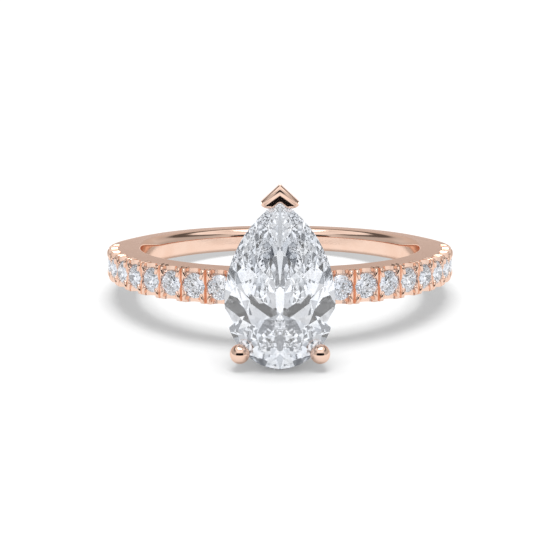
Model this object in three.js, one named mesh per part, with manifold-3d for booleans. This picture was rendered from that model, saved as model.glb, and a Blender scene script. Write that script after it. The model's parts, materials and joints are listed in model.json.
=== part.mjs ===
// A pear-cut solitaire engagement ring in rose gold, with a pave band whose stones share split prongs.
// Units are millimetres and +Z is up. The ring lies on its side: the heel of the pear and the back of
// the band rest on the plane Z = 0, and the stone faces -Y.
//
// Everything is modelled first in the ring's own frame: the ring's axis is local Z, its centre is the
// origin, and the stone stands out along local -Y. One group then tips the ring onto the floor.
import * as THREE from "three";
import { ConvexGeometry } from "three/addons/geometries/ConvexGeometry.js";
import { mergeVertices } from "three/addons/utils/BufferGeometryUtils.js";
import Module from "manifold-3d";

// Band
const INNER_RADIUS = 8.25; // finger size US 6
const OUTER_RADIUS = 10.1;
const FRONT_WIDTH = 1.84; // along the ring's axis, beside the pear
const BACK_WIDTH = 1.5;
const BACK_FILLET = 0.52; // comfort-fit rounding of all four edges at the back
const FRONT_FILLET = 0.06;
const FILLET_STEPS = 2;
const BACK_STEPS = 27; // flats round the plain part of the band

// Pave
const STONES_PER_SIDE = 10;
const PAVE_PITCH = 8.6; // degrees
const PAVE_START = 10.05; // degrees from the front to the first stone
const PAVE_END = PAVE_START + PAVE_PITCH * (STONES_PER_SIDE - 0.5);
const BACK_HALF_STEP = (180 - PAVE_END) / BACK_STEPS; // half the angle of one flat at the back
const MELEE_DIAMETER = 1.36;
const MELEE_GIRDLE = 9.92; // radius of the girdle plane from the ring's axis
const SEAT_SIDES = 10;
const SCALLOP_RADIUS = 0.43;
const SCALLOP_CENTRE = 10.16;
const POST_RISE = 0.1; // how far the prongs stand above the band
const POST_WIDTH = 0.6; // a pair of prongs, along the band
const POST_DEPTH = 0.32; // a pair of prongs, along the ring's axis
const POST_PROUD = 0.03; // how far the prongs stand out from the band's sides
const SPLIT_HALF_WIDTH = 0.1; // groove between the prongs of a pair

// Pear brilliant: its outline is half an ellipse below and two arcs that meet at the tip above
const PEAR_HALF_WIDTH = 2.79;
const PEAR_WIDEST = -0.15;
const PEAR_HEEL = -3.58;
const PEAR_TIP = 5.0;
const PEAR_KEEL = -0.83; // height of the culet along the pear's length
const PEAR_GIRDLE = 12.6; // radius of the girdle plane from the ring's axis
const PEAR_CROWN = 0.84;
const PEAR_PAVILION = 2.3;
const PEAR_GIRDLE_THICKNESS = 0.26;

// Basket
const LOWER_RAIL = { scale: 0.36, wire: 0.4, low: 10.14 };
const UPPER_RAIL = { scale: 0.64, wire: 0.4, low: 10.85 };
const LEG_RADIUS = 0.3;
const BALL = { x: 2.03, z: -2.77, out: 12.88, radius: 0.5 };
const V_TIP = { apex: 5.8, cornerX: 0.94, cornerZ: 4.94, innerX: 0.36, innerZ: 4.61, notch: 4.9 };
const V_LOW = 12.2;
const V_HIGH = 13.02;

const GAP = 0.03; // clearance between neighbouring pieces
const REST_TILT = 7.31; // degrees between the ring's plane and the floor

const wasm = await Module();
wasm.setup();

const rad = THREE.MathUtils.degToRad;
const { lerp, smoothstep } = THREE.MathUtils;

// ---------------------------------------------------------------- solids

function solidOf(geometry, matrix = new THREE.Matrix4()) {
  const bare = geometry.clone();
  bare.deleteAttribute("normal");
  bare.deleteAttribute("uv");
  bare.applyMatrix4(matrix);
  const merged = mergeVertices(bare, 1e-4);
  return new wasm.Manifold(
    new wasm.Mesh({
      numProp: 3,
      vertProperties: new Float32Array(merged.attributes.position.array),
      triVerts: new Uint32Array(merged.index.array),
    }),
  );
}

function geometryOf(solid) {
  const mesh = solid.getMesh();
  const geometry = new THREE.BufferGeometry();
  geometry.setAttribute("position", new THREE.BufferAttribute(mesh.vertProperties, 3));
  geometry.setIndex(new THREE.BufferAttribute(mesh.triVerts, 1));
  geometry.computeVertexNormals();
  return geometry;
}

// ---------------------------------------------------------------- places

// A frame on the band at an angle from the front: x along the band, y along the ring's axis, z outwards.
function seatMatrix(degrees, radius) {
  const a = rad(degrees);
  const along = new THREE.Vector3(Math.cos(a), Math.sin(a), 0);
  const up = new THREE.Vector3(0, 0, 1);
  const out = new THREE.Vector3(Math.sin(a), -Math.cos(a), 0);
  const matrix = new THREE.Matrix4().makeBasis(along, up, out);
  return matrix.setPosition(out.multiplyScalar(radius));
}

// A point of the ring given by its distance across, outwards from the axis, and along the axis.
const at = (x, out, z) => new THREE.Vector3(x, -out, z);

// ---------------------------------------------------------------- brilliants

// A brilliant is eight main facets above and below, eight stars, and sixteen halves above and below.
// mains and joints are the outline's points where main facets and pairs of halves meet the girdle;
// each main also has the outward normal of the outline there. between(i, side) gives further outline
// points between main i and the joint on its side.
function brilliant({ mains, joints, between, keel, crown, pavilion, girdle, table, starDrop, halfLength }) {
  const count = mains.length;
  const top = girdle / 2;
  const points = [];
  const add = (p, z) => {
    const point = new THREE.Vector3(p.x, p.y, z);
    points.push(point);
    return point;
  };
  const line = (main, inner, height) => {
    const run = main.normal.dot(new THREE.Vector2().subVectors(main.point, inner));
    return (p) => (height * main.normal.dot(new THREE.Vector2().subVectors(main.point, p))) / run;
  };
  const ridge = (a, b, level, rise) => {
    const base = new THREE.Vector2().addVectors(a.point, b.point).multiplyScalar(0.5);
    const heightA = rise(a);
    const heightB = rise(b);
    const gradA = new THREE.Vector2(
      heightA(base.clone().add(new THREE.Vector2(1, 0))) - heightA(base),
      heightA(base.clone().add(new THREE.Vector2(0, 1))) - heightA(base),
    );
    const gradB = new THREE.Vector2(
      heightB(base.clone().add(new THREE.Vector2(1, 0))) - heightB(base),
      heightB(base.clone().add(new THREE.Vector2(0, 1))) - heightB(base),
    );
    const fallA = level - heightA(base);
    const fallB = level - heightB(base);
    const det = gradA.x * gradB.y - gradA.y * gradB.x;
    const x = (fallA * gradB.y - fallB * gradA.y) / det;
    const y = (gradA.x * fallB - gradB.x * fallA) / det;
    return base.add(new THREE.Vector2(x, y));
  };
  const tableCorner = (main) => new THREE.Vector2().lerpVectors(keel, main.point, table);
  const crownRise = (main) => line(main, tableCorner(main), crown);
  const pavilionRise = (main) => line(main, keel, pavilion);

  for (const main of mains) {
    add(tableCorner(main), top + crown);
    add(main.point, top);
    add(main.point, -top);
  }
  add(keel, -top - pavilion);
  for (let i = 0; i < count; i++) {
    const main = mains[i];
    const next = mains[(i + 1) % count];
    const joint = joints[i];
    add(joint, top);
    add(joint, -top);
    const starLevel = crown * (1 - starDrop);
    const halfLevel = pavilion * halfLength;
    const star = add(ridge(main, next, starLevel, crownRise), top + starLevel);
    const half = add(ridge(main, next, halfLevel, pavilionRise), -top - halfLevel);
    for (const [end, side] of [
      [main, 0],
      [next, 1],
    ]) {
      const through = (peak, z) => {
        const [first, second] = [end.point, joint].map((p) => new THREE.Vector3(p.x, p.y, z));
        return new THREE.Plane().setFromCoplanarPoints(peak, first, second);
      };
      const upper = through(star, top);
      const lower = through(half, -top);
      const level = ({ constant, normal }, p) => -(constant + normal.x * p.x + normal.y * p.y) / normal.z;
      for (const p of between(i, side)) {
        add(p, level(upper, p));
        add(p, level(lower, p));
      }
    }
  }
  return new ConvexGeometry(points);
}

function roundBrilliant(diameter) {
  const radius = diameter / 2;
  const spot = (turn) => new THREE.Vector2(Math.cos(turn), Math.sin(turn));
  const mains = [];
  const joints = [];
  for (let i = 0; i < 8; i++) {
    const normal = spot((i * Math.PI) / 4);
    mains.push({ point: normal.clone().multiplyScalar(radius), normal });
    joints.push(spot(((i + 0.5) * Math.PI) / 4).multiplyScalar(radius));
  }
  return brilliant({
    mains,
    joints,
    between: () => [],
    keel: new THREE.Vector2(0, 0),
    crown: 0.15 * diameter,
    pavilion: 0.43 * diameter,
    girdle: 0.05 * diameter,
    table: 0.58,
    starDrop: 0.45,
    halfLength: 0.72,
  });
}

// The pear's outline is walked by t: 0 at the tip, 1 at the widest, 2 at the heel, on the +X side.
function pearPoint(t) {
  if (t >= 1) {
    const a = ((t - 1) * Math.PI) / 2;
    const drop = (PEAR_WIDEST - PEAR_HEEL) * Math.sin(a);
    return new THREE.Vector2(PEAR_HALF_WIDTH * Math.cos(a), PEAR_WIDEST - drop);
  }
  const rise = PEAR_TIP - PEAR_WIDEST;
  const offset = (rise * rise - PEAR_HALF_WIDTH * PEAR_HALF_WIDTH) / (2 * PEAR_HALF_WIDTH);
  const radius = PEAR_HALF_WIDTH + offset;
  const a = (1 - t) * Math.asin(rise / radius);
  return new THREE.Vector2(radius * Math.cos(a) - offset, PEAR_WIDEST + radius * Math.sin(a));
}

function pearNormal(t) {
  if (t <= 0) return new THREE.Vector2(0, 1);
  if (t >= 2) return new THREE.Vector2(0, -1);
  const step = 1e-3;
  const along = new THREE.Vector2().subVectors(pearPoint(t + step), pearPoint(t - step)).normalize();
  return new THREE.Vector2(-along.y, along.x);
}

// The same outline with t running on from 2 to 4 up the -X side.
function pearAround(t, f) {
  const turn = ((t % 4) + 4) % 4;
  if (turn <= 2) return f(turn);
  const p = f(4 - turn);
  return new THREE.Vector2(-p.x, p.y);
}

function pearBrilliant() {
  const mainTurns = [0, 0.52, 1.02, 1.56, 2, 2.44, 2.98, 3.48];
  const jointTurns = mainTurns.map((t, i) => (t + (mainTurns[i + 1] ?? 4)) / 2);
  const between = (i, side) => {
    const end = side === 0 ? mainTurns[i] : (mainTurns[i + 1] ?? 4);
    return [0.25, 0.5, 0.75].map((f) => pearAround(lerp(end, jointTurns[i], f), pearPoint));
  };
  return brilliant({
    mains: mainTurns.map((t) => ({ point: pearAround(t, pearPoint), normal: pearAround(t, pearNormal) })),
    joints: jointTurns.map((t) => pearAround(t, pearPoint)),
    between,
    keel: new THREE.Vector2(0, PEAR_KEEL),
    crown: PEAR_CROWN,
    pavilion: PEAR_PAVILION,
    girdle: PEAR_GIRDLE_THICKNESS,
    table: 0.6,
    starDrop: 0.45,
    halfLength: 0.72,
  });
}

// ---------------------------------------------------------------- shank

// The band's section at an angle from the front, as distances out and along the axis. Round the back
// the flats stand outside the true circle, so the band is nowhere thinner than its size.
function bandSection(degrees) {
  const back = smoothstep(Math.abs(degrees), 88, 118);
  const outer = lerp(OUTER_RADIUS, OUTER_RADIUS / Math.cos(rad(BACK_HALF_STEP)), back);
  const share = (1 - Math.cos(rad(degrees))) / 2;
  const half = lerp(FRONT_WIDTH, BACK_WIDTH, share) / 2;
  const fillet = lerp(FRONT_FILLET, BACK_FILLET, back);
  const corners = [
    { out: outer - fillet, z: half - fillet, start: 0 },
    { out: INNER_RADIUS + fillet, z: half - fillet, start: 90 },
    { out: INNER_RADIUS + fillet, z: fillet - half, start: 180 },
    { out: outer - fillet, z: fillet - half, start: 270 },
  ];
  return corners.flatMap(({ out, z, start }) =>
    Array.from({ length: FILLET_STEPS + 1 }, (_, i) => {
      const a = rad(start + (90 * i) / FILLET_STEPS);
      return new THREE.Vector2(out + fillet * Math.cos(a), z + fillet * Math.sin(a));
    }),
  );
}

// Where the band's sections stand: one at every stone and every pair of prongs, and the rest evenly spaced.
function bandAngles() {
  const pave = Array.from(
    { length: 2 * STONES_PER_SIDE + 1 },
    (_, i) => PAVE_START + ((i - 1) * PAVE_PITCH) / 2,
  );
  const back = Array.from({ length: BACK_STEPS - 1 }, (_, i) => PAVE_END + 2 * BACK_HALF_STEP * (i + 1));
  return [0, ...pave, ...back, ...pave.map((a) => 360 - a).reverse()];
}

// A lathed hoop whose section changes on the way round.
function bandGeometry() {
  const angles = bandAngles();
  const first = bandSection(0);
  const loop = [...first, first[0]];
  const hoop = new THREE.LatheGeometry(loop, angles.length);
  const position = hoop.attributes.position;
  for (let i = 0; i <= angles.length; i++) {
    const degrees = angles[i % angles.length];
    const section = bandSection(degrees > 180 ? 360 - degrees : degrees);
    const points = [...section, section[0]];
    const out = seatMatrix(degrees, 0);
    points.forEach((p, j) => {
      const v = new THREE.Vector3(0, p.y, p.x).applyMatrix4(out);
      position.setXYZ(i * loop.length + j, v.x, v.y, v.z);
    });
  }
  return hoop;
}

function shank(seatAngles) {
  let body = solidOf(bandGeometry());
  const sides = [-PAVE_PITCH / 2, PAVE_PITCH / 2];
  const postAngles = seatAngles.flatMap((a) => sides.map((side) => (a + side).toFixed(3)));
  const posts = [...new Set(postAngles)].map(Number);
  const postTop = OUTER_RADIUS + POST_RISE;
  const post = new THREE.BoxGeometry(POST_WIDTH, POST_DEPTH, 0.5);
  const edge = FRONT_WIDTH / 2 - POST_DEPTH / 2 + POST_PROUD;
  for (const angle of posts) {
    for (const side of [-1, 1]) {
      const lift = new THREE.Matrix4().makeTranslation(0, side * edge * bandShare(angle), 0);
      body = body.add(solidOf(post, seatMatrix(angle, postTop - 0.25).multiply(lift)));
    }
  }

  const girdle = (0.05 * MELEE_DIAMETER) / 2;
  const pavilion = 0.43 * MELEE_DIAMETER;
  const seatRadius = (MELEE_DIAMETER / 2 + GAP) / Math.cos(Math.PI / SEAT_SIDES);
  const seat = new THREE.LatheGeometry(
    [
      new THREE.Vector2(0, -girdle - pavilion - 0.06),
      new THREE.Vector2(seatRadius, -girdle - 0.05),
      new THREE.Vector2(seatRadius, 0.8),
      new THREE.Vector2(0, 0.8),
    ],
    SEAT_SIDES,
  ).rotateX(Math.PI / 2);
  const scallop = new THREE.CylinderGeometry(SCALLOP_RADIUS, SCALLOP_RADIUS, 3, 10);
  for (const angle of seatAngles) {
    body = body.subtract(solidOf(seat, seatMatrix(angle, MELEE_GIRDLE)));
    body = body.subtract(solidOf(scallop, seatMatrix(angle, SCALLOP_CENTRE)));
  }
  const split = new THREE.CylinderGeometry(SPLIT_HALF_WIDTH, SPLIT_HALF_WIDTH, 3, 4);
  const deepen = new THREE.Matrix4().makeScale(1, 1, 2.4);
  for (const angle of posts) {
    body = body.subtract(solidOf(split, seatMatrix(angle, postTop).multiply(deepen)));
  }
  return geometryOf(body);
}

function bandShare(degrees) {
  const share = (1 - Math.cos(rad(degrees))) / 2;
  return lerp(FRONT_WIDTH, BACK_WIDTH, share) / FRONT_WIDTH;
}

// ---------------------------------------------------------------- basket

const pearTurns = Array.from({ length: 32 }, (_, i) => i / 8);

function pearLoop(scale) {
  return pearTurns.map((t) => {
    const p = pearAround(t, pearPoint);
    return new THREE.Vector2(p.x * scale, PEAR_KEEL + (p.y - PEAR_KEEL) * scale);
  });
}

// A pear-shaped wire that lies parallel to the girdle, with its outer edges eased.
function railSolid({ scale, wire, low }) {
  const ease = 0.1;
  const outer = new THREE.Shape(pearLoop(scale - ease / PEAR_HALF_WIDTH));
  outer.holes.push(new THREE.Path(pearLoop(scale - (wire - ease) / PEAR_HALF_WIDTH).reverse()));
  const rail = new THREE.ExtrudeGeometry(outer, {
    depth: wire - 2 * ease,
    bevelThickness: ease,
    bevelSize: ease,
    bevelSegments: 1,
    curveSegments: 1,
  });
  return solidOf(rail, seatMatrix(0, low + ease));
}

// A round leg that flares from the foot of the basket up to the girdle.
function legSolid(points) {
  const curve = new THREE.CatmullRomCurve3(points);
  const rim = new THREE.EllipseCurve(0, 0, LEG_RADIUS, LEG_RADIUS).getPoints(10).slice(0, -1);
  return solidOf(new THREE.ExtrudeGeometry(new THREE.Shape(rim), { steps: 10, extrudePath: curve }));
}

// The pear, its girdle wall and its slopes all grown by the gap: what a prong must stay clear of.
function stoneClearance() {
  const grow = new THREE.Matrix4().makeTranslation(0, PEAR_KEEL, 0);
  const share = GAP / 2.2;
  grow.multiply(new THREE.Matrix4().makeScale(1 + share, 1 + share, 1 + 2 * share));
  grow.multiply(new THREE.Matrix4().makeTranslation(0, -PEAR_KEEL, 0));
  return solidOf(pearBrilliant(), seatMatrix(0, PEAR_GIRDLE).multiply(grow));
}

// The two rails, each grown by the gap: the notches they sit in.
function railClearance() {
  const grown = ({ scale, wire, low }) =>
    railSolid({ scale: scale + GAP / PEAR_HALF_WIDTH, wire: wire + 2 * GAP, low: low - GAP });
  return grown(LOWER_RAIL).add(grown(UPPER_RAIL));
}

function clawProng(side, clearance) {
  const leg = legSolid([
    at(side * 0.98, 10.35, -1.86),
    at(side * 1.36, 10.95, -2.2),
    at(side * 1.75, 11.6, -2.52),
    at(side * 2.06, 12.3, -2.83),
    at(side * 2.12, 12.8, -2.88),
  ]);
  const ball = new THREE.SphereGeometry(BALL.radius, 16, 12).rotateX(Math.PI / 2);
  const tip = solidOf(ball, new THREE.Matrix4().setPosition(at(side * BALL.x, BALL.out, BALL.z)));
  return geometryOf(leg.add(tip).subtract(clearance));
}

function vProng(clearance) {
  const leg = legSolid([
    at(0, 10.35, 1.8),
    at(0, 11, 3),
    at(0, 11.6, 3.98),
    at(0, 12.15, 4.86),
    at(0, 12.5, 5.28),
  ]);
  const { apex, cornerX, cornerZ, innerX, innerZ, notch } = V_TIP;
  const chevron = new THREE.Shape([
    new THREE.Vector2(0, apex),
    new THREE.Vector2(-cornerX, cornerZ),
    new THREE.Vector2(-cornerX, cornerZ - 0.16),
    new THREE.Vector2(-innerX - 0.2, innerZ),
    new THREE.Vector2(-innerX, innerZ),
    new THREE.Vector2(0, notch),
    new THREE.Vector2(innerX, innerZ),
    new THREE.Vector2(innerX + 0.2, innerZ),
    new THREE.Vector2(cornerX, cornerZ - 0.16),
    new THREE.Vector2(cornerX, cornerZ),
  ]);
  const cap = new THREE.ExtrudeGeometry(chevron, { depth: V_HIGH - V_LOW, bevelEnabled: false });
  return geometryOf(leg.add(solidOf(cap, seatMatrix(0, V_LOW))).subtract(clearance));
}

// ---------------------------------------------------------------- assembly

const gold = () => new THREE.MeshStandardMaterial({ color: 0xe0a487, roughness: 0.14, metalness: 1 });
const diamond = () => new THREE.MeshStandardMaterial({ color: 0xf2f5fa, roughness: 0.02, metalness: 0 });

const ring = new THREE.Group();

function piece(name, geometry, material, matrix) {
  const mesh = new THREE.Mesh(geometry, material);
  mesh.name = name;
  if (matrix) mesh.applyMatrix4(matrix);
  ring.add(mesh);
  return mesh;
}

const seats = Array.from({ length: STONES_PER_SIDE }, (_, i) => PAVE_START + i * PAVE_PITCH);
const clearance = stoneClearance().add(railClearance());

piece("shank", shank([...seats, ...seats.map((a) => -a)]), gold());
piece("lower_gallery_rail", geometryOf(railSolid(LOWER_RAIL)), gold());
piece("upper_gallery_rail", geometryOf(railSolid(UPPER_RAIL)), gold());
piece("v_prong", vProng(clearance), gold());
piece("claw_prong_left", clawProng(-1, clearance), gold());
piece("claw_prong_right", clawProng(1, clearance), gold());
piece("center_stone", pearBrilliant(), diamond(), seatMatrix(0, PEAR_GIRDLE));

const melee = roundBrilliant(MELEE_DIAMETER);
seats.forEach((angle, i) => {
  const number = String(i + 1).padStart(2, "0");
  piece(`pave_stone_right_${number}`, melee, diamond(), seatMatrix(angle, MELEE_GIRDLE));
  piece(`pave_stone_left_${number}`, melee, diamond(), seatMatrix(-angle, MELEE_GIRDLE));
});

// The ring tips forward onto the pear's heel, then its lowest point goes to Z = 0 and the middle of
// its footprint to the origin.
ring.rotation.x = -rad(REST_TILT);
ring.updateMatrixWorld(true);
const box = new THREE.Box3().setFromObject(ring, true);
ring.position.set(-(box.min.x + box.max.x) / 2, -(box.min.y + box.max.y) / 2, -box.min.z);

const part = new THREE.Group();
part.add(ring);
part.updateMatrixWorld(true);

export default part;
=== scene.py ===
"""Rose-gold engagement ring with a pear-cut diamond, lying on its side on a pale floor.

The metal pieces are rebuilt as fine meshes in millimetres, in the ring's own frame: x across the ring,
y from the stone towards the back of the band, z along the finger hole. RING carries that frame into
the row's frame, in metres. The stones keep their faceted CAD shape.
"""

import json
import math

import bmesh
import bpy
from mathutils import Matrix, Vector
from mathutils.geometry import delaunay_2d_cdt


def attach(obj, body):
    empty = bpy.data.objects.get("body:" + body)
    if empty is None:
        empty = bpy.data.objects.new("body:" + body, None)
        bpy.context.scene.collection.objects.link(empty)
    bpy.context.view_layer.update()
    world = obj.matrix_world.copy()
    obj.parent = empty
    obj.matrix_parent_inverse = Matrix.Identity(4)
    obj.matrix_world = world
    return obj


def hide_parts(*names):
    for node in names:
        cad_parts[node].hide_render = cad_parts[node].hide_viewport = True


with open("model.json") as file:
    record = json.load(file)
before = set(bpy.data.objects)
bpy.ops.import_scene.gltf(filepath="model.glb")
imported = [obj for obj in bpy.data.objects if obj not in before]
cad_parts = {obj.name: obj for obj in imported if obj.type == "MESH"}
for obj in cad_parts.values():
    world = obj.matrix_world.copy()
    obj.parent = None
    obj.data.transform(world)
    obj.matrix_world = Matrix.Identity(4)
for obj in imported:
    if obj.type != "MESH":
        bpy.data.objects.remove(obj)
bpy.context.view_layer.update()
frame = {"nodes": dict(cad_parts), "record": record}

# ---------------------------------------------------------------- sizes, in millimetres

INNER, OUTER = 8.25, 10.095  # radii of the band
FRONT_WIDTH, BACK_WIDTH = 1.83, 1.49
BACK_FILLET, FRONT_FILLET = 0.52, 0.07
PITCH, FIRST, COUNT = 8.6, 10.05, 10  # the small stones of one side, in degrees from the front
MELEE, MELEE_PLANE = 1.36, 9.92  # a small stone's diameter, and the radius of its girdle
SCALLOP_RADIUS, SCALLOP_CENTRE = 0.46, 10.14
GROOVE_HALF_WIDTH, GROOVE_DEPTH = 0.085, 0.2
CLAW_OFFSET = 0.16  # from the middle of a groove to the middle of a small claw
PEAR_HALF, PEAR_WIDEST, PEAR_HEEL, PEAR_TIP, PEAR_KEEL = 2.79, -0.15, -3.58, 5.0, -0.83
PEAR_PLANE = 12.6  # radius of the pear's girdle
RAILS = {"lower_gallery_rail": (0.36, 10.14), "upper_gallery_rail": (0.64, 10.85)}  # scale, foot
RAIL_WIRE = 0.4
LEG = 0.3
BALL_X, BALL_Z, BALL_OUT, BALL_RADIUS = 2.03, -2.77, 12.88, 0.5
V_APEX, V_CORNER, V_NOTCH = Vector((0, 5.8)), Vector((0.94, 4.94)), Vector((0, 4.9))
V_LOW, V_HIGH = 12.2, 13.02
BACK_FLATS = 27  # flats round the plain part of the CAD band
SEATS = [FIRST + PITCH * i for i in range(COUNT)]
POSTS = [FIRST - PITCH / 2 + PITCH * i for i in range(COUNT + 1)]

# The finger seat is the middle of the bore's back facet, so it gives the ring's centre and its tilt.
seat = frame["record"]["mounts"][0]
seat_axis = Vector(seat["axis"])
TILT = math.atan2(seat_axis.z, -seat_axis.y)
half_flat = math.radians(180 - POSTS[-1]) / BACK_FLATS
CENTRE = Vector(seat["pos_m"]) + seat_axis * 0.001 * INNER * math.cos(half_flat)
RING = Matrix.Translation(CENTRE) @ Matrix.Rotation(-TILT, 4, "X") @ Matrix.Scale(0.001, 4)


def smoothstep(x, low, high):
    t = min(1.0, max(0.0, (x - low) / (high - low)))
    return t * t * (3 - 2 * t)


def lerp(a, b, t):
    return a + (b - a) * t


def seat_matrix(degrees, radius):
    """x along the band, y along the ring's axis, z outwards, at an angle from the front."""
    a = math.radians(degrees)
    along = Vector((math.cos(a), math.sin(a), 0))
    out = Vector((math.sin(a), -math.cos(a), 0))
    m = Matrix.Identity(4)
    for i in range(3):
        m[i][0], m[i][1], m[i][2], m[i][3] = along[i], (0, 0, 1)[i], out[i], out[i] * radius
    return m


def at(x, out, z):
    """A point of the ring: across, outwards from the axis towards the stone, and along the axis."""
    return Vector((x, -out, z))


# ---------------------------------------------------------------- mesh helpers

SIDEWAYS = Vector((1, 0, 0))


def solid_mesh(name, verts, faces):
    """A closed mesh with its faces turned outwards."""
    mesh = bpy.data.meshes.new(name)
    mesh.from_pydata(verts, [], faces)
    bm = bmesh.new()
    bm.from_mesh(mesh)
    bmesh.ops.recalc_face_normals(bm, faces=bm.faces)
    bm.to_mesh(mesh)
    bm.free()
    return mesh


def grid_mesh(name, rings, closed_rings=True, caps=False):
    """A mesh through rings of points; closed_rings joins the last ring to the first."""
    count = len(rings[0])
    verts = [tuple(p) for ring in rings for p in ring]
    faces = []
    for i in range(len(rings) if closed_rings else len(rings) - 1):
        a, b = i * count, ((i + 1) % len(rings)) * count
        for j in range(count):
            k = (j + 1) % count
            faces.append((a + j, a + k, b + k, b + j))
    if caps:
        faces.append(tuple(range(count))[::-1])
        faces.append(tuple(range(len(verts) - count, len(verts))))
    return solid_mesh(name, verts, faces)


def circle(sides):
    """(cosine, sine) at equal steps round a circle."""
    return [(math.cos(a), math.sin(a)) for a in (2 * math.pi * j / sides for j in range(sides))]


def tube(name, points, radii, sides, cap_rings=4):
    """A round-ended tube through points, with a radius at each."""
    n = len(points)
    tangents = [(points[min(i + 1, n - 1)] - points[max(i - 1, 0)]).normalized() for i in range(n)]

    def cap(i, outwards):
        """The rings of a round end, from the path's end point outwards."""
        for k in range(1, cap_rings + 1):
            a = math.pi / 2 * k / (cap_rings + 0.35)
            reach = radii[i] * math.sin(a) * outwards
            yield points[i] + tangents[i] * reach, tangents[i], radii[i] * math.cos(a)

    rings = [*reversed(list(cap(0, -1))), *zip(points, tangents, radii), *cap(-1, 1)]
    loops = []
    for p, t, r in rings:
        u = t.cross(SIDEWAYS).normalized()
        v = t.cross(u).normalized()
        loops.append([p + u * r * c + v * r * s for c, s in circle(sides)])
    return grid_mesh(name, loops, closed_rings=False, caps=True)


def smooth_path(points, steps):
    """A Catmull-Rom curve through points."""
    ext = [points[0] * 2 - points[1], *points, points[-1] * 2 - points[-2]]
    out = []
    for i in range(1, len(ext) - 2):
        p0, p1, p2, p3 = ext[i - 1 : i + 3]
        for s in range(steps):
            t = s / steps
            out.append(
                0.5
                * (
                    2 * p1
                    + (p2 - p0) * t
                    + (2 * p0 - 5 * p1 + 4 * p2 - p3) * t * t
                    + (3 * p1 - p0 - 3 * p2 + p3) * t * t * t
                )
            )
    return [*out, points[-1].copy()]


def temp_object(mesh):
    obj = bpy.data.objects.new(mesh.name, mesh)
    bpy.context.scene.collection.objects.link(obj)
    return obj


def joined(meshes, name):
    """One mesh with all the given meshes' faces."""
    bm = bmesh.new()
    for mesh in meshes:
        bm.from_mesh(mesh)
    out = bpy.data.meshes.new(name)
    bm.to_mesh(out)
    bm.free()
    return out


def boolean(mesh, other, operation):
    """mesh with other cut from it or added to it."""
    a, b = temp_object(mesh), temp_object(other)
    mod = a.modifiers.new("cut", "BOOLEAN")
    mod.object, mod.operation, mod.solver = b, operation, "EXACT"
    depsgraph = bpy.context.evaluated_depsgraph_get()
    out = bpy.data.meshes.new_from_object(a.evaluated_get(depsgraph))
    for o in (a, b):
        bpy.data.objects.remove(o)
    return out


def gold_piece(name, mesh, node, angle=30):
    """A finished gold piece in the row's frame, which replaces a CAD node.

    Edges sharper than angle stay crisp. Gold gives no warm glow to the floor and doesn't show through
    the stones.
    """
    mesh.transform(RING)
    mesh.shade_smooth()
    mesh.set_sharp_from_angle(angle=math.radians(angle))
    mesh.materials.clear()
    mesh.materials.append(GOLD)
    mesh.name = name
    obj = temp_object(mesh)
    normals = obj.modifiers.new("normals", "WEIGHTED_NORMAL")
    normals.keep_sharp = True
    normals.weight = 80
    obj.visible_diffuse = False
    obj.visible_transmission = False
    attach(obj, "root")
    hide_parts(node)


# ---------------------------------------------------------------- materials


def nodes_of(material):
    material.use_nodes = True
    tree = material.node_tree
    return tree, tree.nodes["Principled BSDF"]


def noise(tree, scale, detail=3.0, stretch=(1, 1, 1)):
    coord = tree.nodes.new("ShaderNodeTexCoord")
    mapping = tree.nodes.new("ShaderNodeMapping")
    mapping.inputs["Scale"].default_value = stretch
    tex = tree.nodes.new("ShaderNodeTexNoise")
    tex.inputs["Scale"].default_value = scale
    tex.inputs["Detail"].default_value = detail
    tree.links.new(coord.outputs["Object"], mapping.inputs["Vector"])
    tree.links.new(mapping.outputs["Vector"], tex.inputs["Vector"])
    return tex


def ramp(tree, source, stops):
    node = tree.nodes.new("ShaderNodeValToRGB")
    tree.links.new(source, node.inputs["Fac"])
    while len(node.color_ramp.elements) < len(stops):
        node.color_ramp.elements.new(0.5)
    for element, (place, colour) in zip(node.color_ramp.elements, stops):
        element.position, element.color = place, (*colour, 1)
    return node


def gold_material():
    material = bpy.data.materials.new("polished_rose_gold")
    tree, shader = nodes_of(material)
    shader.inputs["Metallic"].default_value = 1.0
    shader.inputs["Specular Tint"].default_value = (0.95, 0.78, 0.69, 1)
    tint = noise(tree, 900.0)
    colour = ramp(tree, tint.outputs["Fac"], [(0.3, (0.86, 0.6, 0.475)), (0.7, (0.90, 0.66, 0.54))])
    tree.links.new(colour.outputs["Color"], shader.inputs["Base Color"])
    haze = noise(tree, 2600.0, 4.0)
    rough = tree.nodes.new("ShaderNodeMapRange")
    rough.inputs["To Min"].default_value = 0.06
    rough.inputs["To Max"].default_value = 0.13
    tree.links.new(haze.outputs["Fac"], rough.inputs["Value"])
    tree.links.new(rough.outputs["Result"], shader.inputs["Roughness"])
    scratch = noise(tree, 2200.0, 5.0, (1, 1, 9))
    bump = tree.nodes.new("ShaderNodeBump")
    bump.inputs["Strength"].default_value = 0.25
    bump.inputs["Distance"].default_value = 0.000003
    tree.links.new(scratch.outputs["Fac"], bump.inputs["Height"])
    tree.links.new(bump.outputs["Normal"], shader.inputs["Normal"])
    return material


def diamond_material(name, tints):
    material = bpy.data.materials.new(name)
    tree, shader = nodes_of(material)
    shader.inputs["Transmission Weight"].default_value = 1.0
    shader.inputs["IOR"].default_value = 2.417
    shader.inputs["Roughness"].default_value = 0.0
    # Painted fire: a noise tint of the body colour, cool to warm, stands in for the stone's coloured
    # glints.
    painted_fire_tint = noise(tree, 1400.0, 2.0)
    colour = ramp(tree, painted_fire_tint.outputs["Fac"], tints)
    tree.links.new(colour.outputs["Color"], shader.inputs["Base Color"])
    return material


GOLD = gold_material()
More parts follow.
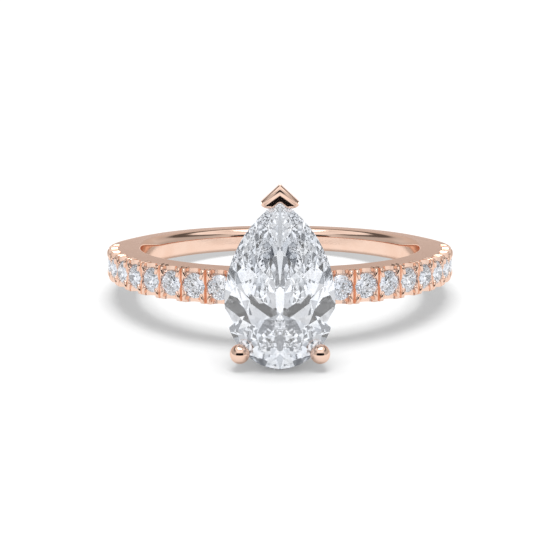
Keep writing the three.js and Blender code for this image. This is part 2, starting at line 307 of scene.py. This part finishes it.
# Each stone's tints are its painted fire, cool to warm; the small stones' tints are darker and greyer.
PEAR_GLASS = diamond_material("pear_diamond", [(0.35, (0.93, 0.96, 1.0)), (0.65, (1.0, 0.99, 0.97))])
MELEE_GLASS = diamond_material("pave_diamond", [(0.35, (0.83, 0.87, 0.93)), (0.65, (0.95, 0.93, 0.91))])

# ---------------------------------------------------------------- the stones keep their faceted CAD shape

for node, obj in frame["nodes"].items():
    if "stone" in node:
        obj.data.materials.clear()
        obj.data.materials.append(PEAR_GLASS if node == "center_stone" else MELEE_GLASS)

# ---------------------------------------------------------------- band


def band_width(degrees):
    return lerp(FRONT_WIDTH, BACK_WIDTH, (1 - math.cos(math.radians(degrees))) / 2)


def band_section(degrees):
    """The band's section at an angle from the front, as (out, z) points, with rounded corners.

    A point close to each end of a corner keeps the flats beside it flat.
    """
    back = smoothstep(abs(degrees), 88, 118)
    half = band_width(degrees) / 2
    fillet = lerp(FRONT_FILLET, BACK_FILLET, back)
    points = []
    flat = 0.012
    corners = [
        (OUTER - fillet, half - fillet, 0),
        (INNER + fillet, half - fillet, 90),
        (INNER + fillet, fillet - half, 180),
        (OUTER - fillet, fillet - half, 270),
    ]
    for out, z, start in corners:
        a0, a1 = math.radians(start), math.radians(start + 90)
        first = Vector((out + fillet * math.cos(a0), z + fillet * math.sin(a0)))
        last = Vector((out + fillet * math.cos(a1), z + fillet * math.sin(a1)))
        before = Vector((math.sin(a0), -math.cos(a0))) * flat
        after = Vector((-math.sin(a1), math.cos(a1))) * flat
        points.append(first + before)
        for k in range(9):
            a = lerp(a0, a1, k / 8)
            points.append(Vector((out + fillet * math.cos(a), z + fillet * math.sin(a))))
        points.append(last + after)
    return points


def band_mesh():
    rings = []
    for degrees in [*range(181), *range(-179, 0)]:
        m = seat_matrix(degrees, 0)
        rings.append([m @ Vector((0, p.y, p.x)) for p in band_section(degrees)])
    return grid_mesh("band", rings)


def drum(name, profile, sides, matrix):
    """A turned cutter: rings of (radius, height) about z, closed at both ends."""
    rings = [[matrix @ Vector((r * c, r * s, h)) for c, s in circle(sides)] for r, h in profile]
    return grid_mesh(name, rings, closed_rings=False, caps=True)


def seat_cutters():
    r = MELEE / 2 + 0.02
    profile = [(0.02, -0.72), (r, -0.09), (r, 0.9)]
    return [drum("seat", profile, 40, seat_matrix(s * a, MELEE_PLANE)) for a in SEATS for s in (1, -1)]


def scallop_cutters():
    """A U-shaped cut through the band under each stone, its axis along the finger hole."""
    cutters = []
    for a in SEATS:
        for s in (1, -1):
            m = seat_matrix(s * a, SCALLOP_CENTRE) @ Matrix.Rotation(math.pi / 2, 4, "X")
            cutters.append(drum("scallop", [(SCALLOP_RADIUS, -1.6), (SCALLOP_RADIUS, 1.6)], 40, m))
    return cutters


def groove_cutters():
    """A V groove across the band between the two claws of every pair."""
    section = [(-GROOVE_HALF_WIDTH, 0.03), (GROOVE_HALF_WIDTH, 0.03), (0.0, -GROOVE_DEPTH)]
    cutters = []
    for a in POSTS:
        for s in (1, -1):
            m = seat_matrix(s * a, OUTER)
            rings = [[m @ Vector((x, y, z)) for x, z in section] for y in (-1.5, 1.5)]
            cutters.append(grid_mesh("groove", rings, closed_rings=False, caps=True))
    return cutters


def claw(angle, side, end):
    """One small claw of a split pair: up the band's side, then over the edge of its stone."""
    half = band_width(angle) / 2
    x = side * CLAW_OFFSET
    path = [
        Vector((x, half - 0.02, -0.52)),
        Vector((x, half - 0.04, -0.28)),
        Vector((x * 1.02, half - 0.09, -0.1)),
        Vector((x * 1.12, half - 0.2, -0.02)),
        Vector((x * 1.4, half - 0.34, -0.015)),
        Vector((x * 1.75, half - 0.44, -0.03)),
    ]
    path = [Vector((p.x, end * p.y, p.z)) for p in path]
    radii = [0.085, 0.095, 0.105, 0.105, 0.1, 0.085]
    fine = smooth_path(path, 4)
    spread = [radii[min(len(radii) - 1, i // 4)] for i in range(len(fine))]
    for _ in range(2):
        spread = [sum(three) / 3 for three in zip(spread[:1] + spread, spread, spread[1:] + spread[-1:])]
    mesh = tube("claw", fine, spread, sides=14)
    mesh.transform(seat_matrix(angle, OUTER))
    return mesh


def build_shank():
    body = boolean(band_mesh(), joined(scallop_cutters(), "scallops"), "DIFFERENCE")
    body = boolean(body, joined(seat_cutters(), "seats"), "DIFFERENCE")
    body = boolean(body, joined(groove_cutters(), "grooves"), "DIFFERENCE")
    claws = []
    for a in POSTS:
        for s in (1, -1):
            for side in (1, -1):
                outermost = a == POSTS[-1] and side > 0
                innermost = a == POSTS[0] and side < 0
                if outermost or innermost:
                    continue
                for end in (1, -1):
                    claws.append(claw(s * a, s * side, end))
    gold_piece("shank_metal", joined([body, *claws], "shank"), "shank")


# ---------------------------------------------------------------- basket


def pear_point(t):
    """The pear's outline: 0 at the tip, 1 at the widest, 2 at the heel, and back up the -x side to 4."""
    if t > 2:
        p = pear_point(4 - t)
        return Vector((-p.x, p.y))
    if t >= 1:
        a = (t - 1) * math.pi / 2
        return Vector((PEAR_HALF * math.cos(a), PEAR_WIDEST - (PEAR_WIDEST - PEAR_HEEL) * math.sin(a)))
    rise = PEAR_TIP - PEAR_WIDEST
    offset = (rise * rise - PEAR_HALF * PEAR_HALF) / (2 * PEAR_HALF)
    radius = PEAR_HALF + offset
    a = (1 - t) * math.asin(rise / radius)
    return Vector((radius * math.cos(a) - offset, PEAR_WIDEST + radius * math.sin(a)))


def build_rails():
    out = at(0, 1, 0)
    r = RAIL_WIRE / 2
    for node, (scale, low) in RAILS.items():
        middle = scale - r / PEAR_HALF
        path = []
        for i in range(160):
            p = pear_point(i / 40)
            path.append(at(p.x * middle, low + r, PEAR_KEEL + (p.y - PEAR_KEEL) * middle))
        rings = []
        for before, here, after in zip(path[-1:] + path, path, path[1:] + path[:1]):
            across = (after - before).cross(out).normalized()
            rings.append([here + across * r * c + out * r * s for c, s in circle(24)])
        gold_piece(node + "_wire", grid_mesh(node, rings), node)


def stone_cutter():
    """The faceted pear, grown a little, in the ring's frame: what a prong is cut to fit."""
    mesh = frame["nodes"]["center_stone"].data.copy()
    mesh.transform(RING.inverted())
    bm = bmesh.new()
    bm.from_mesh(mesh)
    bmesh.ops.remove_doubles(bm, verts=bm.verts, dist=0.001)
    bmesh.ops.recalc_face_normals(bm, faces=bm.faces)
    keel = at(0, PEAR_PLANE, PEAR_KEEL)
    for v in bm.verts:
        v.co = keel + (v.co - keel) * 1.006
    bm.to_mesh(mesh)
    bm.free()
    return mesh


def build_claws(cutter):
    bend = [
        (0.98, 10.35, -1.86),
        (1.36, 10.95, -2.2),
        (1.75, 11.6, -2.52),
        (2.06, 12.3, -2.83),
        (2.1, 12.75, -2.86),
    ]
    for side, name in ((-1, "left"), (1, "right")):
        path = smooth_path([at(side * x, out, z) for x, out, z in bend], 8)
        leg = tube("leg", path, [LEG] * len(path), sides=28)
        ball = bpy.data.meshes.new("ball")
        bm = bmesh.new()
        bmesh.ops.create_icosphere(bm, subdivisions=5, radius=BALL_RADIUS)
        bm.to_mesh(ball)
        bm.free()
        ball.transform(Matrix.Translation(at(side * BALL_X, BALL_OUT, BALL_Z)))
        metal = boolean(boolean(leg, ball, "UNION"), cutter.copy(), "DIFFERENCE")
        gold_piece(f"claw_prong_{name}_metal", metal, f"claw_prong_{name}")


def profile(x, stops):
    """Linear interpolation through (place, value) stops."""
    for (x0, y0), (x1, y1) in zip(stops, stops[1:]):
        if x <= x1:
            return lerp(y0, y1, max(0.0, (x - x0) / (x1 - x0)))
    return stops[-1][1]


def line_distance(p, a, b):
    t = min(1.0, max(0.0, (p - a).dot(b - a) / (b - a).length_squared))
    return (p - a - (b - a) * t).length


# The V tip's face falls away from its edges. Stops are (distance from the edge, drop): two stepped
# slopes down to the long outer edges, and a rounded lip along the notch, in widths of the lip.
V_SLOPES = [(0, 0.27), (0.035, 0.22), (0.15, 0.165), (0.165, 0.15), (0.27, 0.12), (0.41, 0.055), (0.7, 0)]
V_LIP = [(0, 0.17), (0.08, 0.12), (0.22, 0.075), (0.45, 0.035), (0.7, 0.01), (1, 0)]
V_NARROWING = 0.7  # how fast the slopes narrow towards the tip's ends
V_SPACING = 0.028  # of the points along a row
V_SLOPE_ROWS = [0.018, 0.035, 0.06, 0.09, 0.12, 0.15, 0.165, 0.19, 0.22]
V_SLOPE_ROWS += [0.245, 0.27, 0.3, 0.33, 0.37, 0.41, 0.47, 0.53, 0.6]
V_LIP_ROWS = [0.012, 0.027, 0.042, 0.06, 0.09, 0.14, 0.2]


def mirrored(p):
    return Vector((-p.x, p.y))


def nearest(p, lines):
    return min(line_distance(p, a, b) for a, b in lines)


def is_inside(p, loop):
    hits = 0
    for a, b in zip(loop, loop[1:] + loop[:1]):
        if (a.y > p.y) != (b.y > p.y) and p.x < (b.x - a.x) * (p.y - a.y) / (b.y - a.y) + a.x:
            hits += 1
    return hits % 2 == 1


def v_outline():
    """The right half of the tip's outline: its outer edge, then its lip up to the notch."""
    end = [(0.955, 4.85), (0.89, 4.73), (0.74, 4.635), (0.52, 4.605), (0.36, 4.64)]
    rise_to_notch = [(0.2, 4.77), (0.08, 4.875)]
    lip = smooth_path([V_CORNER, *map(Vector, end + rise_to_notch), V_NOTCH], 5)[:-1]
    edge = [V_APEX.lerp(V_CORNER, i / 12) for i in range(1, 12)]
    return edge, lip


def v_height(p, outer, inner):
    """How far out the tip's face stands at p."""
    to_edge = nearest(p, outer) * (1 + V_NARROWING * abs(p.x))
    lip_width = lerp(0.06, 0.2, smoothstep(abs(p.x), 0.34, 0.6))
    return V_HIGH - max(profile(to_edge, V_SLOPES), profile(nearest(p, inner) / lip_width, V_LIP))


def v_rows(inner):
    """Points in rows along the outer edges and along the lip, where the face bends."""
    along = (V_CORNER - V_APEX).normalized()
    points = []
    for row in V_SLOPE_ROWS:
        for k in range(60):
            reach = V_SPACING * k
            below = row / along.x / (1 + V_NARROWING * reach * along.x)
            p = V_APEX + along * reach - Vector((0, below))
            if p.x > 0.96 or p.y < 4.45:
                break
            points += [p, mirrored(p)] if k else [p]
    for a, b in inner:
        along = (b - a).normalized()
        across = Vector((along.y, -along.x))
        for row in V_LIP_ROWS:
            points += [(a + b) / 2 + across * row, (a + b) / 2 - across * row]
    return points


def v_cap():
    """The V tip as a solid: a triangulated face that follows v_height, over a flat back."""
    edge, lip = v_outline()
    right = edge + lip
    loop = [V_APEX, *right, V_NOTCH, *[mirrored(p) for p in reversed(right)]]
    outer = [(V_APEX, V_CORNER), (V_APEX, mirrored(V_CORNER))]
    inner = list(zip(lip, lip[1:] + [V_NOTCH]))
    inner += [(mirrored(a), mirrored(b)) for a, b in inner]
    clear = [p for p in v_rows(inner) if is_inside(p, loop) and nearest(p, outer + inner) > 0.008]
    border = [(i, (i + 1) % len(loop)) for i in range(len(loop))]
    flat, _, faces, *_ = delaunay_2d_cdt(loop + clear, border, [], 1, 1e-5)
    front = [tuple(at(p.x, v_height(p, outer, inner), p.y)) for p in flat]
    back = [tuple(at(p.x, V_LOW, p.y)) for p in flat]
    count = len(flat)
    sides = [(a, b) for face in faces for a, b in zip(face, [*face[1:], face[0]])]
    shared = set(sides)
    walls = [(a, b, b + count, a + count) for a, b in sides if (b, a) not in shared]
    back_faces = [tuple(v + count for v in reversed(face)) for face in faces]
    return solid_mesh("cap", front + back, [*map(tuple, faces), *back_faces, *walls])


def build_v_prong(cutter):
    bend = [(10.35, 1.8), (11, 3), (11.6, 3.98), (12.1, 4.86), (12.4, 5.28)]
    path = smooth_path([at(0, out, z) for out, z in bend], 8)
    leg = tube("leg", path, [LEG] * len(path), sides=28)
    metal = boolean(boolean(v_cap(), leg, "UNION"), cutter.copy(), "DIFFERENCE")
    gold_piece("v_prong_metal", metal, "v_prong", angle=24)


build_shank()
build_rails()
cutter = stone_cutter()
build_claws(cutter)
build_v_prong(cutter)

# ---------------------------------------------------------------- floor, flag and light


def floor_material():
    material = bpy.data.materials.new("pale_floor")
    tree, shader = nodes_of(material)
    shader.inputs["Roughness"].default_value = 0.9
    shader.inputs["Specular IOR Level"].default_value = 0.1
    grain = noise(tree, 300.0, 2.0)
    colour = ramp(tree, grain.outputs["Fac"], [(0.3, (0.9, 0.9, 0.9)), (0.7, (0.905, 0.905, 0.905))])
    tree.links.new(colour.outputs["Color"], shader.inputs["Base Color"])
    return material


def card(name, corners, material):
    mesh = bpy.data.meshes.new(name)
    mesh.from_pydata(corners, [], [(0, 1, 2, 3)])
    mesh.materials.append(material)
    obj = bpy.data.objects.new(name, mesh)
    bpy.context.scene.collection.objects.link(obj)
    obj.visible_transmission = False
    return obj


def dark_material():
    material = bpy.data.materials.new("dark_flag")
    _, shader = nodes_of(material)
    shader.inputs["Base Color"].default_value = (0.01, 0.01, 0.012, 1)
    shader.inputs["Roughness"].default_value = 1.0
    shader.inputs["Specular IOR Level"].default_value = 0.0
    return material


def overhead_light():
    light = bpy.data.lights.new("overhead", "AREA")
    light.shape, light.size, light.size_y, light.energy = "RECTANGLE", 0.32, 0.32, 1.55
    obj = bpy.data.objects.new("overhead", light)
    obj.location = (0, 0.002, 0.5)
    obj.rotation_euler = (Vector((0, 0, 0.002)) - obj.location).to_track_quat("-Z", "Y").to_euler()
    obj.visible_transmission = False
    bpy.context.scene.collection.objects.link(obj)


# The floor is small enough for its far edge to stay as bright as the background.
FLOOR = 0.15
floor_corners = [(-FLOOR, -FLOOR, 0), (FLOOR, -FLOOR, 0), (FLOOR, FLOOR, 0), (-FLOOR, FLOOR, 0)]
card("floor", floor_corners, floor_material())

# A dark flag round the camera, seen only in reflections, gives polished metal its darks.
FLAG = 0.3
flag_corners = [(-FLAG, -FLAG, 0.008), (FLAG, -FLAG, 0.008), (FLAG, -FLAG, 0.17), (-FLAG, -FLAG, 0.17)]
flag = card("camera_flag", flag_corners, dark_material())
flag.visible_camera = False
flag.visible_diffuse = False
flag.visible_shadow = False

overhead_light()

# Light is reflected many times inside a diamond before it leaves, and turns grey if it is cut short.
cycles = bpy.context.scene.cycles
cycles.max_bounces = 40
cycles.glossy_bounces = 36
cycles.transmission_bounces = 36

# ---------------------------------------------------------------- sky

world = bpy.data.worlds.new("studio")
bpy.context.scene.world = world
world.use_nodes = True
world.cycles.sampling_method = "NONE"
sky = world.node_tree
background = sky.nodes["Background"]
background.inputs["Strength"].default_value = 1.0
coord = sky.nodes.new("ShaderNodeTexCoord")
parts = sky.nodes.new("ShaderNodeSeparateXYZ")
sky.links.new(coord.outputs["Generated"], parts.inputs["Vector"])


def grey(level, tint=(1, 1, 1)):
    return tuple(level * t for t in tint)


def blend(factor, a, b):
    """Sky colours a and b mixed by factor; a is a colour or a socket, and so is b."""
    node = sky.nodes.new("ShaderNodeMix")
    node.data_type = "RGBA"
    sky.links.new(factor, node.inputs["Factor"])
    for socket, value in (("A", a), ("B", b)):
        if isinstance(value, tuple):
            node.inputs[socket].default_value = (*value, 1)
        else:
            sky.links.new(value, node.inputs[socket])
    return node.outputs["Result"]


def math_node(operation, *values):
    node = sky.nodes.new("ShaderNodeMath")
    node.operation = operation
    for i, value in enumerate(values):
        if isinstance(value, (int, float)):
            node.inputs[i].default_value = value
        else:
            sky.links.new(value, node.inputs[i])
    return node.outputs["Value"]


def rise(value, start, end):
    """0 at start and 1 at end, with a smooth step between."""
    node = sky.nodes.new("ShaderNodeMapRange")
    node.interpolation_type = "SMOOTHSTEP"
    node.inputs["From Min"].default_value, node.inputs["From Max"].default_value = start, end
    sky.links.new(value, node.inputs["Value"])
    return node.outputs["Result"]


def between(value, low, high):
    """1 from low to high and 0 outside, with soft edges."""
    soft = 0.02
    return math_node("MULTIPLY", rise(value, low - soft, low + soft), rise(value, high + soft, high - soft))


def area(sides, heights, slope):
    """1 inside an area of the sky and 0 outside.

    Its sides are degrees left or right of the front and its heights are degrees up. It rises by slope
    towards the side.
    """
    height = math_node("SUBTRACT", parts.outputs["Z"], math_node("MULTIPLY", aside, slope))
    left, right = (math.radians(v) for v in sides)
    low, high = (math.sin(math.radians(v)) for v in heights)
    return math_node("MULTIPLY", between(bearing, left, right), between(height, low, high))


aside = math_node("ABSOLUTE", parts.outputs["X"])
bearing = math_node("ARCTAN2", aside, math_node("MULTIPLY", parts.outputs["Y"], -1.0))

# What polished metal sees: a pale room with a darker belt round its sides and back, lights above it,
# and a brighter front. Far to the sides it falls off.
belt = ramp(
    sky,
    parts.outputs["Z"],
    [
        (0.0, grey(0.62)),
        (0.3, grey(0.72)),
        (0.5, grey(0.6)),
        (0.57, grey(0.12, (1, 0.95, 0.9))),
        (0.69, grey(0.12, (1, 0.95, 0.9))),
        (0.74, grey(1.1)),
        (0.85, grey(1.0)),
        (0.95, grey(0.72)),
    ],
)
behind = sky.nodes.new("ShaderNodeMapRange")
behind.inputs["From Min"].default_value = -0.55
behind.inputs["From Max"].default_value = -0.25
sky.links.new(parts.outputs["Y"], behind.inputs["Value"])
ahead = ramp(
    sky,
    parts.outputs["Z"],
    [
        (0.0, grey(0.72)),
        (0.42, grey(0.72)),
        (0.5, grey(0.55)),
        (0.58, grey(1.15)),
        (0.8, grey(1.15)),
        (0.9, grey(0.72)),
    ],
)
metal_sky = blend(behind.outputs["Result"], ahead.outputs["Color"], belt.outputs["Color"])
fall_off = math_node("MULTIPLY", rise(aside, 0.7, 0.95), 0.55)
metal_sky = blend(fall_off, metal_sky, grey(0.42))

# What the facets see: broad soft patches, the same on both sides, and larger areas over them, each
# with its sides, heights, slope and brightness.
folded = sky.nodes.new("ShaderNodeCombineXYZ")
for socket, value in (("X", aside), ("Y", parts.outputs["Y"]), ("Z", parts.outputs["Z"])):
    sky.links.new(value, folded.inputs[socket])
patches = sky.nodes.new("ShaderNodeTexNoise")
patches.inputs["Scale"].default_value = 3.4
patches.inputs["Detail"].default_value = 0.0
sky.links.new(folded.outputs["Vector"], patches.inputs["Vector"])
shades = [(0.42, (0.1, 0.11, 0.13)), (0.5, (0.44, 0.47, 0.52)), (0.57, (0.92, 0.95, 1.0))]
facet_sky = ramp(sky, patches.outputs["Fac"], shades).outputs["Color"]
for sides, heights, slope, level in (
    ((27, 78), (6, 44), 0.0, 1.3),  # soft boxes to the front left and right
    ((-10, 50), (-80, -16), 0.0, 1.15),  # a bright floor in front
    ((70, 125), (-8, 8), 0.0, 0.2),  # dark sides of the room
    ((125, 190), (-8, 8), 0.0, 1.1),  # a bright strip behind
    ((-10, 30), (-16, 32), 0.0, 0.62),  # a grey wall in front
    ((-10, 40), (-13, 6), 0.5, 0.0),  # a dark wedge low on that wall
):
    facet_sky = blend(area(sides, heights, slope), facet_sky, grey(level, (0.97, 0.99, 1.04)))

# The floor and the camera see one plain grey each.
path = sky.nodes.new("ShaderNodeLightPath")
colour = blend(path.outputs["Is Transmission Ray"], metal_sky, facet_sky)
colour = blend(path.outputs["Is Diffuse Ray"], colour, grey(0.66))
colour = blend(path.outputs["Is Camera Ray"], colour, grey(1.1))
sky.links.new(colour, background.inputs["Color"])

# ---------------------------------------------------------------- camera

VIEW_ANGLE = math.radians(9.1) + TILT
AIM_ANGLE = VIEW_ANGLE + math.radians(0.878)  # a little below the middle of the ring
DISTANCE = 0.08
camera_data = bpy.data.cameras.new("camera")
camera_data.sensor_width = 36
camera_data.lens = 86.4
camera_data.clip_start = 0.001
camera_data.clip_end = 10
camera = bpy.data.objects.new("camera", camera_data)
camera.location = CENTRE + DISTANCE * Vector((0, -math.cos(VIEW_ANGLE), math.sin(VIEW_ANGLE)))
camera.rotation_euler = (math.pi / 2 - AIM_ANGLE, 0, 0)
bpy.context.scene.collection.objects.link(camera)
bpy.context.scene.camera = camera
bpy.context.scene.view_settings.view_transform = "Standard"
